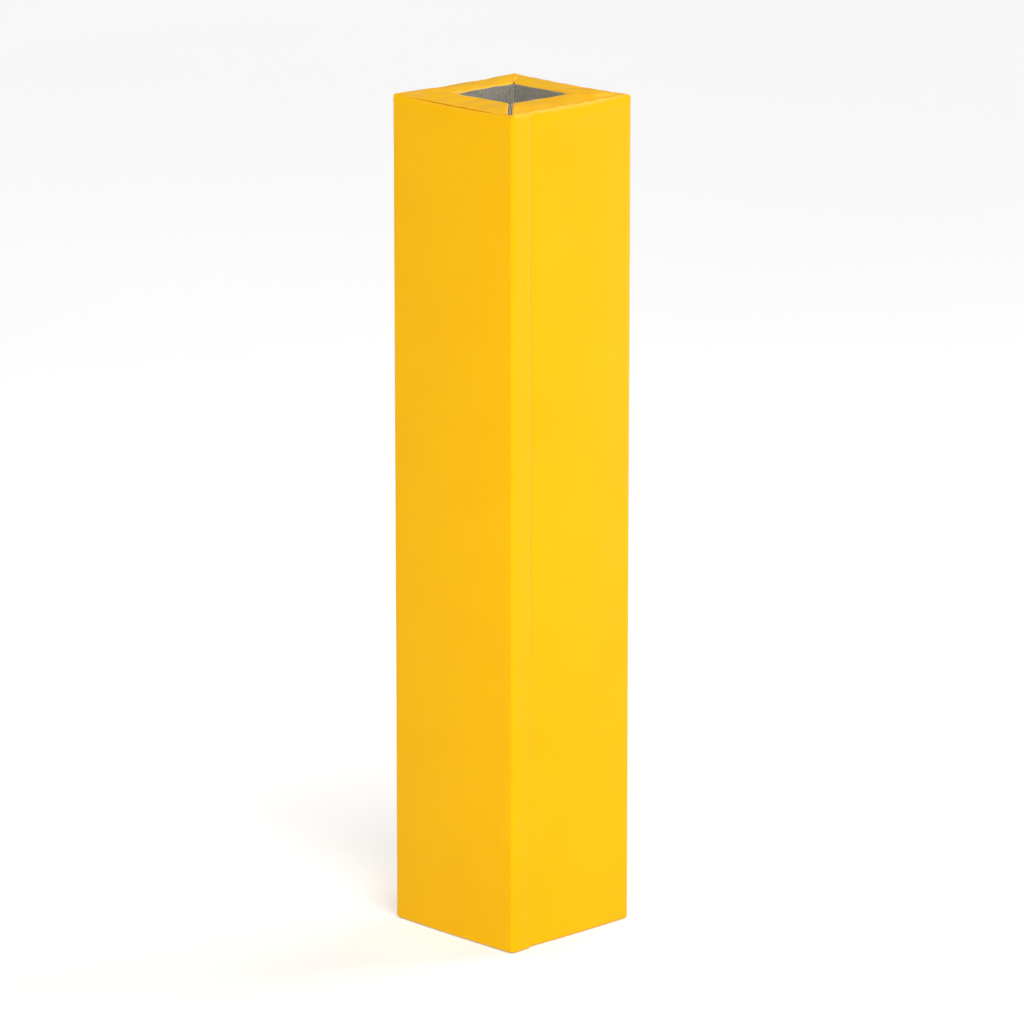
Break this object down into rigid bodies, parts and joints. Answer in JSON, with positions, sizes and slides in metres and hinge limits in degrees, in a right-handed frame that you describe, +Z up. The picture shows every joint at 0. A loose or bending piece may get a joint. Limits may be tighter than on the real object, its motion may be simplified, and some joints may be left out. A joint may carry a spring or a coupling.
{
  "type": "soft column protector",
  "caption": "Square padded sleeve that wraps a building column: foam boards in a sewn coated-fabric cover, closed at one corner by a flap.",
  "frame": {"origin": "centre of the column passage, on the floor", "axes": "+Z up along the passage, +X out of the right face, -Y out of the front face; the opening corner is at +X -Y"},
  "size_m": [0.2, 0.197, 1.0008],
  "materials": {
    "cover_fabric": "satin coated fabric",
    "top_fabric": "satin coated fabric",
    "bottom_fabric": "satin coated fabric",
    "lining_fabric": "matte woven",
    "foam": "matte foam",
    "tape": "matte hook-and-loop"
  },
  "bodies": {
    "root": {"outer_wrap": "cover_fabric", "top_panel": "top_fabric", "bottom_panel": "bottom_fabric", "inner_lining": "lining_fabric", "front_foam_board": "foam", "right_foam_board": "foam", "back_foam_board": "foam", "left_foam_board": "foam", "hook_tape": "tape", "loop_tape": "tape"}
  },
  "joints": []
}
